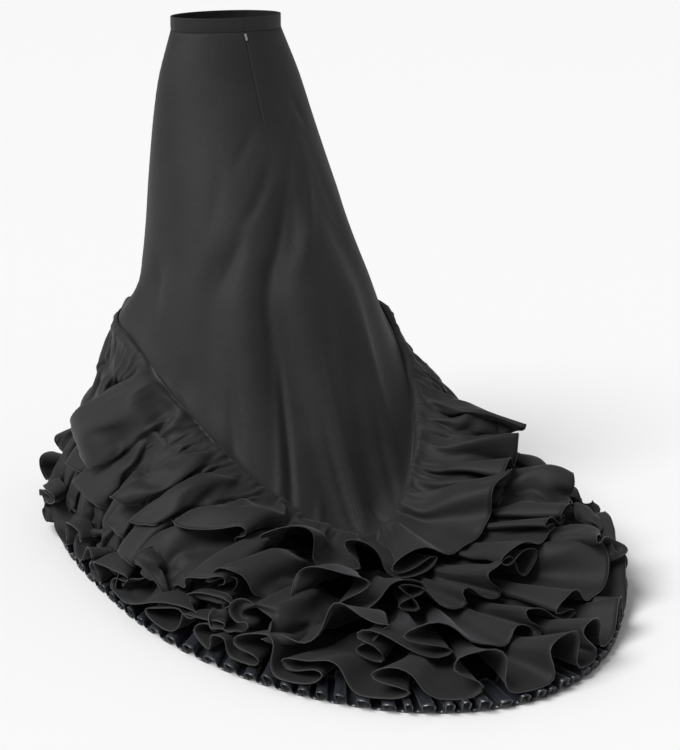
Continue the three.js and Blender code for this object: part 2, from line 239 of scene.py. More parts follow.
bodyCut = {
    "wall": 0.002,
    "sideSeam": 104,       # turn of the side seams, in degrees
    "gap": 0.00008,        # half of a sewn seam
    "slitHalf": 0.0008,    # half of the zip's slit, down to its level
    "slitEnd": 2,
    "edgeSteps": (0, 0.0006, 0.0014, 0.0025, 0.0042, 0.0075),
    "roll": 0.0011,        # how far the slit's edge turns in, and how wide; a seam turns in less
    "rollWide": 0.0016,
    "seamRoll": 0.12,
    "pucker": 0.0005,      # small puckers along the seams: depth, length, how far they reach from the
    "puckerLong": 0.021,   # seam, where they begin beside it and below the waist
    "puckerWide": 0.011,
    "puckerIn": 0.003,
    "puckerTop": 0.03,
    "upperRows": 66, "breakRows": 84, "hiddenRows": 22,
    "columns": 118,
}


def foldDepth(level, turn):
    depth = np.zeros(np.broadcast(level, turn).shape)
    for fold in folds:
        along = (level - fold["start"]) / (fold["stop"] - fold["start"])
        inside = (along > 0) & (along < 1)
        middle = fold["startTurn"] + (fold["stopTurn"] - fold["startTurn"]) * along
        fade = smooth(along / fold["rise"]) * smooth((1 - along) / fold["end"])
        depth = depth + inside * fold["depth"] * fade * bell(turn, middle, fold["spread"])
    return depth / 1000


def bodyPanel(name, fromTurn, toTurn, slitFirst, slitLast, node):
    cut = bodyCut
    levels = np.concatenate([np.linspace(0, 5, cut["upperRows"]), np.linspace(5, 6, cut["breakRows"])[1:],
                             np.linspace(6, 10, cut["hiddenRows"])[1:]])
    fromTurn, toTurn = np.radians(fromTurn), np.radians(toTurn)
    steps = np.array(cut["edgeSteps"])
    gapFirst = np.where((levels <= cut["slitEnd"]) & slitFirst, cut["slitHalf"], cut["gap"])
    gapLast = np.where((levels <= cut["slitEnd"]) & slitLast, cut["slitHalf"], cut["gap"])
    first = fromTurn + (gapFirst[:, None] + steps) / turnReach(levels, fromTurn)[:, None]
    last = toTurn - (gapLast[:, None] + steps[::-1]) / turnReach(levels, toTurn)[:, None]
    share = np.linspace(0, 1, cut["columns"])[1:-1]
    middle = first[:, -1:] + (last[:, :1] - first[:, -1:]) * share
    turns = np.concatenate([first, middle, last], axis=1)
    place = levels[:, None] + 0 * turns
    points = cone(place, turns)
    arc, fall = runningLength(points, 1), runningLength(points)
    edge = np.minimum(arc, arc[:, -1:] - arc)
    pressed = cut["seamRoll"] + (1 - cut["seamRoll"]) * (place < cut["slitEnd"])
    roll = cut["roll"] * pressed * np.exp(-((edge / cut["rollWide"]) ** 2))
    wave = np.sin(2 * np.pi * fall / cut["puckerLong"] + 2.1 * np.sin(fall * 23))
    ripple = wave * np.exp(-edge / cut["puckerWide"]) * smooth(edge / cut["puckerIn"])
    inset = foldDepth(place, turns) + roll + cut["pucker"] * ripple * smooth(fall / cut["puckerTop"])
    points = points - outward(place, turns) * inset[..., None]
    piece = gridMesh(name, points, material=crepe, uv=np.stack([arc, fall], axis=-1))
    applied(piece, "SOLIDIFY", thickness=cut["wall"], offset=-1)
    wear(piece, [node])

# Finishes

class Wire:
    # one output of a finish's node tree, with shader maths as plain expressions
    def __init__(self, finish, socket):
        self.finish, self.socket = finish, socket

    def __add__(self, other):
        return self.finish.maths("ADD", self, other)

    def __radd__(self, other):
        return self.finish.maths("ADD", other, self)

    def __sub__(self, other):
        return self.finish.maths("SUBTRACT", self, other)

    def __rsub__(self, other):
        return self.finish.maths("SUBTRACT", other, self)

    def __mul__(self, other):
        return self.finish.maths("MULTIPLY", self, other)

    def __rmul__(self, other):
        return self.finish.maths("MULTIPLY", other, self)


class Finish:
    def __init__(self, name, **surface):
        self.material = bpy.data.materials.new(name)
        self.material.use_nodes = True
        self.tree = self.material.node_tree
        self.surface = self.tree.nodes["Principled BSDF"]
        for key, value in surface.items():
            self.set(key, value)

    def set(self, key, value):
        socket = self.surface.inputs[key.replace("_", " ")]
        if isinstance(value, Wire):
            self.tree.links.new(value.socket, socket)
        else:
            socket.default_value = value

    def node(self, kind, sockets=None, out=0, **settings):
        made = self.tree.nodes.new("ShaderNode" + kind)
        for key, value in settings.items():
            setattr(made, key, value)
        for key, value in (sockets or {}).items():
            if isinstance(value, Wire):
                self.tree.links.new(value.socket, made.inputs[key])
            else:
                made.inputs[key].default_value = value
        return Wire(self, made.outputs[out])

    def maths(self, kind, *values):
        return self.node("Math", dict(enumerate(values)), operation=kind)

    def noise(self, where, scale, detail=2, roughness=0.5):
        return self.node("TexNoise", {"Vector": where, "Scale": scale, "Detail": detail,
                                      "Roughness": roughness})

    def blend(self, share, a, b):
        return self.node("Mix", {0: share, 6: a, 7: b}, out=2, data_type="RGBA", clamp_factor=True)

    def bump(self, height, distance, strength=1, under=None):
        sockets = {"Height": height, "Distance": distance, "Strength": strength}
        if under:
            sockets["Normal"] = under
        return self.node("Bump", sockets)

    def limit(self, value, low, high):
        return self.node("MapRange", {0: value, 1: low, 2: high, 3: 0, 4: 1})


crepeLook = {
    "dark": (0.0105, 0.0105, 0.0112, 1),
    "light": (0.0165, 0.0166, 0.0172, 1),
    "roughness": 0.62,
    "sheen": 0.1,
    "pebble": 820,       # grains of the crepe to the metre
    "crinkle": 70,       # the same for its soft crinkles, and for its slow changes of shade
    "drift": 9,
}
# the rolled hem is the same black crepe painted lighter: a painted highlight along the hem's rolled edge
hemLookPaintedHighlight = {**crepeLook, "dark": (0.022, 0.022, 0.023, 1), "light": (0.045, 0.046, 0.048, 1),
           "roughness": 0.52, "sheen": 0.2, "crinkle": 260}


def crepeFinish(name, look):
    made = Finish(name, Sheen_Weight=look["sheen"], Sheen_Roughness=0.42,
                  Sheen_Tint=(0.85, 0.87, 0.92, 1), Specular_IOR_Level=0.32)
    where = made.node("TexCoord", out=3)
    pebble = made.noise(where, look["pebble"], 3, 0.6)
    crinkle = made.noise(where, look["crinkle"], 3, 0.55)
    drift = made.noise(where, look["drift"], 2)
    shade = made.limit(drift * 0.7 + pebble * 0.3, 0.35, 0.65)
    made.set("Base_Color", made.blend(shade, look["dark"], look["light"]))
    made.set("Roughness", look["roughness"] + pebble * 0.12 + (drift - 0.5) * 0.1)
    soft = made.bump(crinkle, 0.0022, 0.35)
    made.set("Normal", made.bump(pebble, 0.00016, 0.5, soft))
    return made.material


crepe = crepeFinish("blackCrepe", crepeLook)
hemCrepePaintedHighlight = crepeFinish("rolledHemPaintedHighlight", hemLookPaintedHighlight)


def organzaFinish():
    made = Finish("blackOrganza", Sheen_Weight=0.25, Sheen_Roughness=0.3, Coat_Roughness=0.22,
                  Specular_IOR_Level=0.6)
    cloth = made.node("UVMap", uv_map="cloth")
    along = made.node("SeparateXYZ", {0: cloth})
    warp = made.maths("SINE", along * 5200)
    where = made.node("TexCoord", out=3)
    cloud = made.noise(where, 120, 2)
    made.set("Base_Color", made.blend(cloud, (0.011, 0.0115, 0.015, 1), (0.034, 0.037, 0.047, 1)))
    made.set("Roughness", 0.26 + cloud * 0.16)
    made.set("Coat_Weight", 0.25 + cloud * 0.3)
    made.set("Normal", made.bump(warp, 0.0001, 0.25, made.bump(cloud, 0.0015, 0.3)))
    return made.material


def metalFinish():
    made = Finish("nickel", Metallic=1.0)
    where = made.node("TexCoord", out=3)
    spots = made.noise(where, 900, 4, 0.65)
    brush = made.noise(made.node("Mapping", {0: where, 3: (2600, 260, 260)}), 1, 3)
    made.set("Base_Color", made.blend(spots, (0.62, 0.61, 0.58, 1), (0.78, 0.775, 0.75, 1)))
    made.set("Roughness", 0.2 + spots * 0.12 + brush * 0.08)
    made.set("Normal", made.bump(brush, 0.00003, 0.4))
    return made.material


def tapeFinish():
    made = Finish("zipTape", Sheen_Weight=0.1, Sheen_Roughness=0.5)
    cloth = made.node("UVMap", uv_map="cloth")
    across = made.node("SeparateXYZ", {0: cloth})
    down = made.node("SeparateXYZ", {0: cloth}, out=1)
    zigzag = made.maths("PINGPONG", across * 420, 1)
    rib = made.maths("SINE", (down + zigzag * 0.0012) * 5200)
    shade = made.limit(rib, -1, 1)
    made.set("Base_Color", made.blend(shade, (0.006, 0.006, 0.007, 1), (0.022, 0.022, 0.024, 1)))
    made.set("Roughness", 0.7 - rib * 0.06)
    made.set("Normal", made.bump(rib, 0.00012, 0.6))
    return made.material


organza, nickel, wovenTape = organzaFinish(), metalFinish(), tapeFinish()
print("finishes made")

leftSeam, rightSeam = bodyCut["sideSeam"], 360 - bodyCut["sideSeam"]
bodyPanel("backPanelLeft", 0, leftSeam, True, False, "back_panel_left")
bodyPanel("frontPanel", leftSeam, rightSeam, False, False, "front_panel")
bodyPanel("backPanelRight", rightSeam, 360, False, True, "back_panel_right")
print("body panels cut and folded")

# Flounces, draped from the lowest up

flounceCut = {
    "drop": 0.212,       # seam to hem
    "lowest": 11.0,      # no flounce ends below this level
    "flare": 1.6,        # the hem's cloth is longer than its room by this share of it
    "lift": 0.003,
    "fanTurn": -43, "fanSpread": 21,
    "raised": 0.02,      # how much further the hem stands off before it settles
    "tall": 0.035,       # height of a flute on the sides and front, and how much more at the back
    "backTall": 0.010,
    "lean": 1.7,         # how far a flute leans over for its height
    "crisp": 2.4,        # how sharply it turns at its ridges
    "columns": 540, "rows": 14,
    "wall": 0.0011,
    "hemRadius": 0.0010,
    "hemSides": 6,
    "lines": 900,        # lines down the cone that lead each flounce
    "probe": 0.24,
    "tuckTurns": (103, -88),  # where a flounce lies closer to the body, on both sides
    "tuckSpread": 28,
    "hangTurn": -55, "hangSpread": 28,
    "floorGap": 0.006,
}
# seam is its level on the cone; stand and trainStand are how far the hem stands off, fan and tuck how
# much more or less at those turns. crowds: turns where flutes lie closer together (share above 0) or
# wider apart, each with its spread and share. calms: turns where they are less full. hang: how far
# they slant down the right side of the train, as a share of the drop
flounceTiers = (
    {"name": "flounce1", "seam": 6, "stand": 0.026, "trainStand": 0.050, "fan": 0.004, "tuck": 0.038,
     "flutes": 23, "seed": 13, "hang": 0.5, "crowds": ((62, 20, -0.4), (-52, 22, 0.4)),
     "calms": ((10, 20, 0.6), (100, 20, 0.65), (-84, 18, 0.35))},
    {"name": "flounce2", "seam": 7, "stand": 0.022, "trainStand": 0.080, "fan": 0.014, "tuck": 0.018,
     "flutes": 28, "seed": 24, "hang": 0.3, "crowds": ((58, 24, 0.35), (-14, 18, 0.3)),
     "calms": ((10, 20, 0.2), (102, 18, 0.2), (-84, 18, 0.2))},
    {"name": "flounce3", "seam": 8, "stand": 0.024, "trainStand": 0.086, "fan": 0.044, "tuck": 0.015,
     "flutes": 30, "seed": 38, "hang": 0.25, "crowds": ((58, 24, 0.4), (-14, 18, 0.35)),
     "calms": ((10, 20, 0.1), (-84, 18, 0.2))},
    {"name": "flounce4", "seam": 9, "stand": 0.020, "trainStand": 0.040, "fan": 0.050, "tuck": 0.008,
     "flutes": 31, "seed": 42, "hang": 0.2, "crowds": ((58, 24, 0.25), (-10, 18, 0.25)),
     "calms": ((10, 20, 0.1),)},
)


def marchDown(seam, turn, drop, steps, nearLevel=0.02, nearTurn=0.004):
    # lines down the cone that cross every level squarely, as the cut does
    last = flounceCut["lowest"]
    level = np.full_like(turn, seam)
    path = [(level, turn)]
    for _ in range(steps):
        lower = np.minimum(level + nearLevel, last)
        across = (cone(level, turn + nearTurn) - cone(level, turn - nearTurn)) / (2 * nearTurn)
        down = (cone(lower, turn) - cone(level - nearLevel, turn)) / (lower - level + nearLevel)[:, None]
        reach = np.linalg.norm(across, axis=-1)
        slip = np.sum(down * across, axis=-1) / reach
        fall = np.linalg.norm(down - (slip / reach)[:, None] * across, axis=-1)
        step = np.minimum(drop / steps / fall, last - level)
        level, turn = level + step, turn - slip / reach * step
        path.append((level, turn))
    return path


def flounceCentre(tier, extra):
    # the flounce before its flutes: rows from seam to hem, standing off the cone
    cut = flounceCut
    count, rows, reach = cut["lines"], cut["rows"], cut["probe"]
    turn = np.linspace(0, 2 * np.pi, count + 1)
    probe = np.array([level for level, _ in marchDown(tier["seam"], turn, reach, 40)])
    lengths = np.linspace(0, reach, len(probe))
    far = np.array([np.interp(cut["lowest"] - 0.02, probe[:, i], lengths) for i in range(count + 1)])
    path = marchDown(tier["seam"], turn, np.minimum(cut["drop"], far), rows - 1)
    left, right = (bell(turn, middle, cut["tuckSpread"]) for middle in cut["tuckTurns"])
    stand = (tier["stand"] + (tier["trainStand"] - tier["stand"]) * smooth(np.cos(turn) * 1.6 - 0.6)
             + tier["fan"] * bell(turn, cut["fanTurn"], cut["fanSpread"])
             - tier["tuck"] * (left + right) + extra)
    lift = cut["lift"] + np.linspace(0, 1, rows)[:, None] * stand
    return np.array([cone(level, place) + outward(level, place, 0.3) * off[:, None]
                     for (level, place), off in zip(path, lift)])


def loopShape(bend, squash, count=160):
    # one wave of cloth whose heading swings by bend each way, pressed down to its share squash
    phase = (np.arange(count) + 0.5) / count * 2 * np.pi
    heading = bend * np.tanh(flounceCut["crisp"] * np.sin(phase)) / np.tanh(flounceCut["crisp"])
    along = np.concatenate([[0], np.cumsum(np.cos(heading))])
    aside = squash * np.concatenate([[0], np.cumsum(np.sin(heading))])
    return along / along[-1], aside / along[-1]


# every wave that a flute can take, from flat to curled over and from pressed down to tall
loopBends, loopSquashes = np.linspace(0.01, 1.95, 90), np.linspace(0.2, 1, 12)
loops = [[loopShape(bend, squash) for bend in loopBends] for squash in loopSquashes]
loopRatios = np.array([[np.hypot(np.diff(x), np.diff(y)).sum() for x, y in row] for row in loops])
loopHeights = np.array([[np.ptp(y) for _, y in row] for row in loops])


def loopFor(ratio, height):
    # the wave whose cloth is ratio times its room, and whose height is that share of its room
    bends = np.array([np.interp(ratio, row, loopBends) for row in loopRatios])
    heights = np.array([np.interp(bend, loopBends, row) for bend, row in zip(bends, loopHeights)])
    squash = np.interp(height, heights, loopSquashes)
    return loopShape(np.interp(squash, loopSquashes, bends), squash)


def flutePlan(tier, centre, arcs):
    # where each flute begins and ends, as shares of the seam, with its fullness, lean and height
    dice, count, cut = np.random.default_rng(tier["seed"]), tier["flutes"], flounceCut
    hem, turns = arcs[-1], np.linspace(0, 2 * np.pi, arcs.shape[1])
    middle = np.interp((np.arange(count) + 0.5) / count * hem[-1], hem, turns)
    crowded = sum(share * bell(middle, turn, spread) for turn, spread, share in tier["crowds"])
    widths = dice.uniform(0.5, 1.6, count) * (1 - crowded)
    ends = np.concatenate([[0], np.cumsum(widths)]) / widths.sum()
    middle = np.interp((ends[1:] + ends[:-1]) / 2 * hem[-1], hem, turns)
    calmed = sum(share * bell(middle, turn, spread) for turn, spread, share in tier["calms"])
    fuller = dice.uniform(0.75, 1.25, count) * (1 - calmed)
    lean = dice.uniform(-1, 1, count) * cut["lean"]
    height = (cut["tall"] + cut["backTall"] * smooth(np.cos(middle) * 1.2)) * dice.uniform(0.65, 1.25, count)
    height = height * (1 - 0.5 * calmed)
    hung = bell(np.interp(ends * hem[-1], hem, turns), cut["hangTurn"], cut["hangSpread"])
    slant = tier["hang"] * hung * cut["drop"]
    return np.interp(ends * hem[-1], hem, arcs[0]) / arcs[0, -1], fuller, lean, height, slant


def flounceShape(tier, extra):
    # the flounce with its flutes, each a wave that grows from the seam to the hem
    centre = flounceCentre(tier, extra)
    rows, cols = flounceCut["rows"], flounceCut["columns"]
    arcs = runningLength(centre, 1)
    ends, fuller, lean, height, slant = flutePlan(tier, centre, arcs)
    share = (np.arange(cols) + 0.5) / cols
    flute = np.searchsorted(ends, share) - 1
    within = (share - ends[flute]) / (ends[flute + 1] - ends[flute])
    normal = unit(np.cross(np.gradient(centre, axis=1), np.gradient(centre, axis=0)))
    points = np.zeros((rows, cols, 3))
    for row in range(rows):
        down = row / (rows - 1)
        edges = np.interp(ends * arcs[0, -1], arcs[0], arcs[row]) + slant * down
        room = np.diff(edges)
        along, aside, tall = np.zeros(cols), np.zeros(cols), np.zeros(len(room))
        for k in range(len(room)):
            ratio = 1 + flounceCut["flare"] * fuller[k] * down ** 1.2
            x, y = loopFor(ratio, height[k] * down ** 0.7 / room[k])
            tall[k] = np.ptp(y) * room[k]
            x = x + lean[k] * down * y
            long = np.concatenate([[0], np.cumsum(np.hypot(np.diff(x), np.diff(y)))])
            here = flute == k
            along[here] = edges[k] + np.interp(within[here] * long[-1], long, x) * room[k]
            aside[here] = np.interp(within[here] * long[-1], long, y) * room[k]
        aside -= np.interp(share, (ends[1:] + ends[:-1]) / 2, tall, period=1) * 0.5 * smooth(down * 2)
        for axis in range(3):
            base = np.interp(along, arcs[row], centre[row][:, axis], period=arcs[row, -1])
            away = np.interp(along, arcs[row], normal[row][:, axis], period=arcs[row, -1])
            points[row, :, axis] = base + aside * away
    points[..., 2] = np.maximum(points[..., 2], floorHigh + flounceCut["floorGap"])
    return points


def meshPoints(piece):
    seen = piece.evaluated_get(bpy.context.evaluated_depsgraph_get())
    points = np.zeros(len(seen.data.vertices) * 3)
    seen.data.vertices.foreach_get("co", points)
    return points.reshape(-1, 3)


drapeSet = {
    "frames": 30,
    "cloth": {"quality": 5, "mass": 0.15, "air_damping": 1.5, "tension_stiffness": 15,
              "compression_stiffness": 15, "shear_stiffness": 5, "bending_stiffness": 20.0,
              "tension_damping": 5, "compression_damping": 5, "shear_damping": 5, "bending_damping": 0.5},
    "collision": {"collision_quality": 2, "distance_min": 0.004, "use_self_collision": True,
                  "self_distance_min": 0.004, "self_friction": 5},
    "outer": 0.003,      # how far cloth keeps from what lies under it
    "inner": 0.02,
    "friction": 20, "damping": 0.5,
    "tiersUnder": 2,     # how many draped tiers the next one rests on
}


def asCollider(piece, oneSided):
    piece.modifiers.new("Collision", "COLLISION")
    piece.collision.thickness_outer = drapeSet["outer"]
    piece.collision.thickness_inner = drapeSet["inner"] if oneSided else drapeSet["outer"]
    piece.collision.use_culling = oneSided
    piece.collision.cloth_friction = drapeSet["friction"]
    piece.collision.damping = drapeSet["damping"]
    return piece


def settle(piece, rest):
    # the piece hangs from its sewn row, and its cloth keeps the lengths of the shape it was cut to
    rows, cols, frames = flounceCut["rows"], flounceCut["columns"], drapeSet["frames"]
    piece.vertex_groups.new(name="sewn").add(list(range(cols)), 1, "REPLACE")
    piece.shape_key_add(name="start")
    cut = piece.shape_key_add(name="cut")
    cut.data.foreach_set("co", rest.ravel())
    cut.value = 0
    cloth = piece.modifiers.new("Cloth", "CLOTH")
    cloth.settings.rest_shape_key = cut
    for key, value in drapeSet["cloth"].items():
        setattr(cloth.settings, key, value)
    cloth.settings.vertex_group_mass = "sewn"
    for key, value in drapeSet["collision"].items():
        setattr(cloth.collision_settings, key, value)
    cloth.point_cache.frame_start, cloth.point_cache.frame_end = 1, frames
    scene = bpy.context.scene
    scene.frame_start, scene.frame_end = 1, frames
    for number in range(1, frames + 1):
        scene.frame_set(number)
    settled = meshPoints(piece)
    piece.modifiers.clear()
    scene.frame_set(1)
    piece.shape_key_clear()
    piece.data.vertices.foreach_set("co", settled.ravel())
    piece.data.update()
    return settled.reshape(rows, cols, 3)


def tube(name, path, radius, sides, material):
    # a closed cord along a closed path
    forward = unit(np.roll(path, -1, axis=0) - np.roll(path, 1, axis=0))
    side = unit(np.cross(forward, (0, 0, 1)) + 1e-6)
    up = np.cross(side, forward)
    angle = (np.arange(sides) / sides * 2 * np.pi)[None, :, None]
    rings = path[:, None] + radius * (np.cos(angle) * side[:, None] + np.sin(angle) * up[:, None])
    at = np.arange(len(path) * sides).reshape(-1, sides)
    ahead, beside = np.roll(at, -1, 0), np.roll(at, -1, 1)
    faces = np.stack([at, ahead, np.roll(ahead, -1, 1), beside], axis=-1).reshape(-1, 4)
    mesh = bpy.data.meshes.new(name)
    mesh.from_pydata(rings.reshape(-1, 3).tolist(), [], faces.tolist())
    mesh.polygons.foreach_set("use_smooth", [True] * len(faces))
    mesh.materials.append(material)
    piece = bpy.data.objects.new(name, mesh)
    bpy.context.scene.collection.objects.link(piece)
    bpy.ops.object.select_all(action="DESELECT")
    bpy.context.view_layer.objects.active = piece
    piece.select_set(True)
    bpy.ops.object.mode_set(mode="EDIT")
    bpy.ops.mesh.select_all(action="SELECT")
    bpy.ops.mesh.normals_make_consistent(inside=False)
    bpy.ops.object.mode_set(mode="OBJECT")
    return piece


# what the flounces fall on: the skirt's cone, raised at its edge over the frill, and the floor
underLevels = np.concatenate([np.linspace(3, 6, 20), np.linspace(6.2, 11, 26)])
underTurns = np.linspace(0, 2 * np.pi, 160, endpoint=False)
underPoints = cone(underLevels[:, None], underTurns[None, :])
underPoints[..., 2] += 0.016 * smooth((underLevels[:, None] - 9.8) / 0.5)
underBody = asCollider(gridMesh("underBody", underPoints, closed=True), True)
bpy.ops.mesh.primitive_plane_add(size=4, location=(0, 0.5, floorHigh))
underFloor = asCollider(bpy.context.object, True)
underTiers = []

for tier in reversed(flounceTiers):
    rest = flounceShape(tier, 0)
    start = flounceShape(tier, flounceCut["raised"])
    piece = gridMesh(tier["name"], start, closed=True, material=crepe)
    settled = settle(piece, rest)
    underTiers.append(asCollider(gridMesh(tier["name"] + "Under", settled[:, ::2], closed=True), False))
    if len(underTiers) > drapeSet["tiersUnder"]:
        bpy.data.objects.remove(underTiers.pop(0))
    applied(piece, "SUBSURF", levels=1, render_levels=1)
    applied(piece, "SOLIDIFY", thickness=flounceCut["wall"], offset=0)
    number = tier["seam"] - flounceTiers[0]["seam"] + 1
    wear(piece, [f"flounce_{number}_{part}" for part in ("back", "left", "front", "right")])
    hemRow = settled[-1]
    fine = np.zeros((len(hemRow) * 2, 3))
    fine[0::2] = (np.roll(hemRow, 1, 0) + 6 * hemRow + np.roll(hemRow, -1, 0)) / 8
    fine[1::2] = (hemRow + np.roll(hemRow, -1, 0)) / 2
    # the hem cord takes the lighter crepe, a painted highlight along the hem
    hem = tube(tier["name"] + "Hem", fine, flounceCut["hemRadius"], flounceCut["hemSides"], hemCrepePaintedHighlight)
    wear(hem)
    long = np.linalg.norm(rest - np.roll(rest, 1, axis=1), axis=-1).sum(axis=1)
    print(tier["name"], "draped")
for helper in (underBody, underFloor, *underTiers):
    bpy.data.objects.remove(helper)

# Frill of gathered organza under the edge

frillCut = {
    "loops": 98, "perLoop": 18, "rows": 7,
    "inner": 10.05, "outer": 11.0,
    "past": 0.005,       # how far it reaches past the edge, and how much more at the back of the train
    "backPast": 0.009,
    "backTurn": 30, "backSpread": 40,
    "tall": 0.029,       # height of a loop at the outer edge
    "fullness": 2.5,     # length of its cloth over the length of the edge
    "stretch": 0.9,      # height of a loop over its width, before it is pressed
    "wall": 0.0005,
    "weave": (9.6, 0.09),  # length and depth of its cloth for the weave
    "seed": 7,
}


def frillRing():
    cut = frillCut
    dice = np.random.default_rng(cut["seed"])
    widths = dice.uniform(0.7, 1.4, cut["loops"])
    ends = np.concatenate([[0], np.cumsum(widths)]) / widths.sum() * 2 * np.pi
    talls = dice.uniform(0.72, 1.12, cut["loops"])
    x, y = loopFor(cut["fullness"], cut["stretch"])
    y = (y - y.min()) / np.ptp(y)
    cols = cut["loops"] * cut["perLoop"]
    within = np.tile(np.arange(cut["perLoop"]) / cut["perLoop"], cut["loops"])
    loop = np.repeat(np.arange(cut["loops"]), cut["perLoop"])
    places = np.arange(len(x))
    straight = ends[loop] + within * np.diff(ends)[loop]
    curled = ends[loop] + np.interp(within * (len(x) - 1), places, x) * np.diff(ends)[loop]
    height = np.interp(within * (len(x) - 1), places, y) * talls[loop]
    points = np.zeros((cut["rows"], cols, 3))
    for row, s in enumerate(np.linspace(0, 1, cut["rows"])):
        turn = straight + (curled - straight) * min(1, 0.7 + s)
        level = cut["inner"] + (cut["outer"] - cut["inner"]) * s
        base = cone(level, turn)
        out = outward(np.minimum(level, 10.9), turn) * (1, 1, 0)
        sway = 0.5 + 0.5 * np.sin(turn * 23 + 1.7 * np.sin(turn * 7))
        past = cut["past"] + cut["backPast"] * bell(turn, cut["backTurn"], cut["backSpread"])
        points[row] = base + unit(out) * (past * s * (0.2 + height * 1.4))[:, None]
        points[row, :, 2] = (floorHigh + 0.0015 + (base[:, 2] - floorHigh) * (1 - s)
                             + height * cut["tall"] * (0.55 + 0.45 * s) * (0.8 + 0.2 * sway))
    weaveLong, weaveDeep = cut["weave"]
    uvAlong, uvDown = np.arange(cols) / cols * weaveLong, np.linspace(0, weaveDeep, cut["rows"])[:, None]
    uv = np.stack(np.broadcast_arrays(uvAlong, uvDown), axis=-1)
    piece = gridMesh("organzaFrill", points, closed=True, material=organza, uv=uv)
    applied(piece, "SOLIDIFY", thickness=cut["wall"], offset=0)
    wear(piece, ["frill_back", "frill_left", "frill_front", "frill_right"])
    closed = np.concatenate([points, points[:, :1]], axis=1)
    long = np.linalg.norm(np.diff(closed[-1], axis=0), axis=-1).sum()
    deep = np.linalg.norm(np.diff(points, axis=0), axis=-1).sum(axis=0).mean()
    return piece, (round(float(deep), 3), round(float(long), 2))


frill, frillFlat = frillRing()
print("frill gathered, cut", frillFlat)

# Small shapes sewn on in rows

def rounded(sides, radius, depth, edge, flatten=1.0):
    # a short bar along Z with its ends rounded over
    bpy.ops.object.select_all(action="DESELECT")
    bpy.ops.mesh.primitive_cylinder_add(vertices=sides, radius=radius, depth=depth)
    bpy.ops.object.mode_set(mode="EDIT")
    bpy.ops.mesh.select_all(action="SELECT")
    bpy.ops.mesh.bevel(offset=edge, segments=1, affect="EDGES")
    bpy.ops.mesh.select_all(action="SELECT")
    bpy.ops.transform.resize(value=(flatten, 1, 1))
    bpy.ops.object.mode_set(mode="OBJECT")
    return bpy.context.object


def rowOf(name, shape, places, material):
    # copies of a shape as one piece; a place is a centre with the directions of the shape's X, Y and Z
    base = np.array([corner.co for corner in shape.data.vertices])
    sides = [tuple(face.vertices) for face in shape.data.polygons]
    bpy.data.objects.remove(shape)
    corners = np.concatenate([centre + base @ np.array(axes) for centre, axes in places])
    faces = [tuple(corner + at * len(base) for corner in side) for at in range(len(places)) for side in sides]
    mesh = bpy.data.meshes.new(name)
    mesh.from_pydata(corners.tolist(), [], faces)
    mesh.materials.append(material)
    piece = bpy.data.objects.new(name, mesh)
    bpy.context.scene.collection.objects.link(piece)
    return piece


# Waistband

bandCut = {
    "high": 0.030, "gap": 0.0003,
    "wall": 0.0022,
    "half": 0.128, "deep": 0.088,  # the waist's half width and half depth
    "crown": 0.0004,               # how far it rounds out between its edges
    "ripple": 0.0003,
    "steps": 168, "rows": 9,
    "bevel": 0.0006,
    "stitchIn": 0.0022, "stitchLong": 0.0026, "stitchGap": 0.0011,
    "thread": 0.00028,
    "proud": 0.0002,
}


def bandPoint(turn, high, out=0.0):
    half, deep, sin, cos = bandCut["half"], bandCut["deep"], np.sin(turn), np.cos(turn)
    point = np.stack([half * sin, deep * cos, high + 0 * turn], axis=-1)
    away = unit(np.stack([sin / half, cos / deep, 0 * turn], axis=-1))
    return point + away * np.asarray(out)[..., None]


def waistband():
    cut = bandCut
    start = cut["gap"] / 2 / cut["half"]
    turns = np.linspace(start, 2 * np.pi - start, cut["steps"] + 1)
    levels = np.linspace(0, 1, cut["rows"])
    highs = cut["gap"] + cut["high"] * (1 - levels)
    crown = cut["crown"] * np.sin(np.pi * levels) - cut["crown"]
    ripple = cut["ripple"] * np.sin(turns * 19 + 3 * np.sin(turns * 4))
    points = np.array([bandPoint(turns, high, out + ripple * np.sin(np.pi * level))
                       for high, out, level in zip(highs, crown, levels)])
    arc = runningLength(points[0])
    uv = np.stack(np.broadcast_arrays(arc, highs[:, None]), axis=-1)
    band = gridMesh("waistBand", points, material=crepe, uv=uv)
    applied(band, "SOLIDIFY", thickness=cut["wall"], offset=-1)
    applied(band, "BEVEL", width=cut["bevel"], segments=2, limit_method="ANGLE")
    wear(band, ["waistband"])
    # one row of stitches by each edge
    pitch = cut["stitchLong"] + cut["stitchGap"]
    places = []
    for high in (cut["gap"] + cut["stitchIn"], cut["gap"] + cut["high"] - cut["stitchIn"]):
        for count in range(1, int(arc[-1] / pitch) - 1):
            first, last = np.interp((count * pitch, count * pitch + cut["stitchLong"]), arc, turns)
            first, last = (bandPoint(turn, high, cut["proud"]) for turn in (first, last))
            along = unit(last - first)
            side = unit(np.cross(along, (0.0, 0.0, 1.0)))
            places.append(((first + last) / 2, (side, np.cross(along, side), along)))
    stitch = rounded(6, cut["thread"], cut["stitchLong"], cut["thread"] * 0.45, 0.8)
    # the stitches take the same lighter crepe: a painted highlight on the black thread
    sewn = wear(rowOf("waistStitches", stitch, places, hemCrepePaintedHighlight))
    return band, sewn, (cut["high"], arc[-1])


band, bandStitches, bandFlat = waistband()
print("waistband sewn, cut", np.round(bandFlat, 3))

# Zip

tapeCut = {
    "half": 0.012,
    "inset": 0.0026,     # how deep it lies behind the body's cloth
    "wall": 0.0009,
    "startLevel": 0.11, "endLevel": 2.0,
    "columns": 15, "rows": 70,
    "toothPitch": 0.0024, "toothHalf": 0.0019, "toothThick": 0.0009,
    "toothEdge": 0.0002,
    "toothSide": 0.0003,  # how far each tooth sits from the middle, to either side in turn
    "firstTooth": 6,
}


